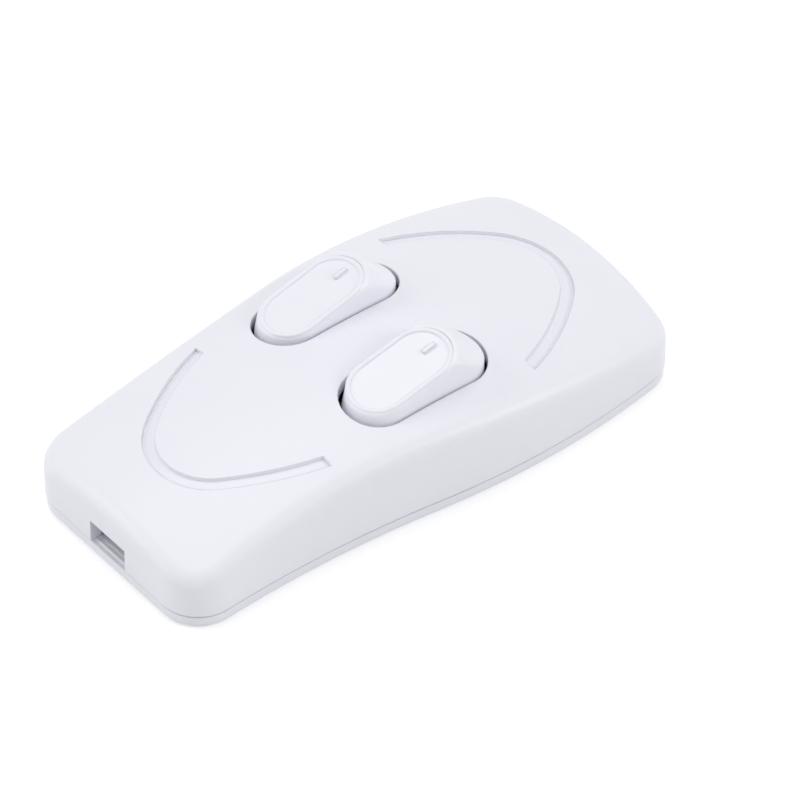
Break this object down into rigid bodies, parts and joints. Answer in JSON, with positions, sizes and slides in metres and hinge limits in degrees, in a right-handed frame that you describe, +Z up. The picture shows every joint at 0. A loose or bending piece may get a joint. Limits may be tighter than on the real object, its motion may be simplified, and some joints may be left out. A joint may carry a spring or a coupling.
{
  "type": "inline cord switch",
  "caption": "Inline cord switch with side-by-side rockers in a waisted white plastic housing, with cord entries at both ends",
  "frame": {"origin": "middle of the base's underside, where the switch rests", "axes": "+X along the cord to the wide end, +Z up through the rockers, +Y to the back rocker"},
  "size_m": [0.068, 0.034, 0.016],
  "materials": {
    "cover_plastic": "fine satin texture",
    "base_plastic": "fine satin texture",
    "rocker_plastic": "smooth, low gloss",
    "brass": "stamped strip, bright",
    "silver": "silver contact, polished",
    "zinc_steel": "zinc plated",
    "spring_steel": "drawn wire",
    "clamp_plastic": "moulded"
  },
  "bodies": {
    "housing": {"top_cover": "cover_plastic", "base_shell": "base_plastic", "load_terminal_front": "brass", "fixed_rivet_front": "silver", "load_terminal_back": "brass", "fixed_rivet_back": "silver", "line_busbar": "brass", "neutral_bar": "brass", "terminal_screws": "zinc_steel", "terminal_washers": "zinc_steel", "cord_clamp_near": "clamp_plastic", "cord_clamp_far": "clamp_plastic", "clamp_screws": "zinc_steel", "case_screws": "zinc_steel"},
    "rocker_body_front": {"rocker_front": "rocker_plastic", "plunger_spring_front": "spring_steel"},
    "plunger_body_front": {"plunger_front": "brass"},
    "seesaw_body_front": {"seesaw_contact_front": "brass", "moving_rivet_front": "silver"},
    "rocker_body_back": {"rocker_back": "rocker_plastic", "plunger_spring_back": "spring_steel"},
    "plunger_body_back": {"plunger_back": "brass"},
    "seesaw_body_back": {"seesaw_contact_back": "brass", "moving_rivet_back": "silver"}
  },
  "joints": [
    {"name": "rocker_swing_front", "type": "hinge", "parent": "housing", "child": "rocker_body_front", "pos_m": [0.00185, -0.0076, 0.0102], "axis": [0, 1, 0], "range_deg": [-14, 0]},
    {"name": "plunger_slide_front", "type": "slide", "parent": "rocker_body_front", "child": "plunger_body_front", "axis": [0.1219, 0, 0.9925], "range_m": [0, 0.0003], "stiffness_N_per_m": 300, "springref_m": -0.0005, "deforming": ["plunger_spring_front"]},
    {"name": "seesaw_tilt_front", "type": "hinge", "parent": "housing", "child": "seesaw_body_front", "pos_m": [0.00185, -0.0076, 0.0047], "axis": [0, 1, 0], "range_deg": [0, 14]},
    {"name": "rocker_swing_back", "type": "hinge", "parent": "housing", "child": "rocker_body_back", "pos_m": [0.00185, 0.0076, 0.0102], "axis": [0, 1, 0], "range_deg": [-14, 0]},
    {"name": "plunger_slide_back", "type": "slide", "parent": "rocker_body_back", "child": "plunger_body_back", "axis": [0.1219, 0, 0.9925], "range_m": [0, 0.0003], "stiffness_N_per_m": 300, "springref_m": -0.0005, "deforming": ["plunger_spring_back"]},
    {"name": "seesaw_tilt_back", "type": "hinge", "parent": "housing", "child": "seesaw_body_back", "pos_m": [0.00185, 0.0076, 0.0047], "axis": [0, 1, 0], "range_deg": [0, 14]}
  ],
  "couplings": [
    {"joint": "seesaw_tilt_front", "follows": "rocker_swing_front", "ratio": -1},
    {"joint": "seesaw_tilt_back", "follows": "rocker_swing_back", "ratio": -1}
  ]
}
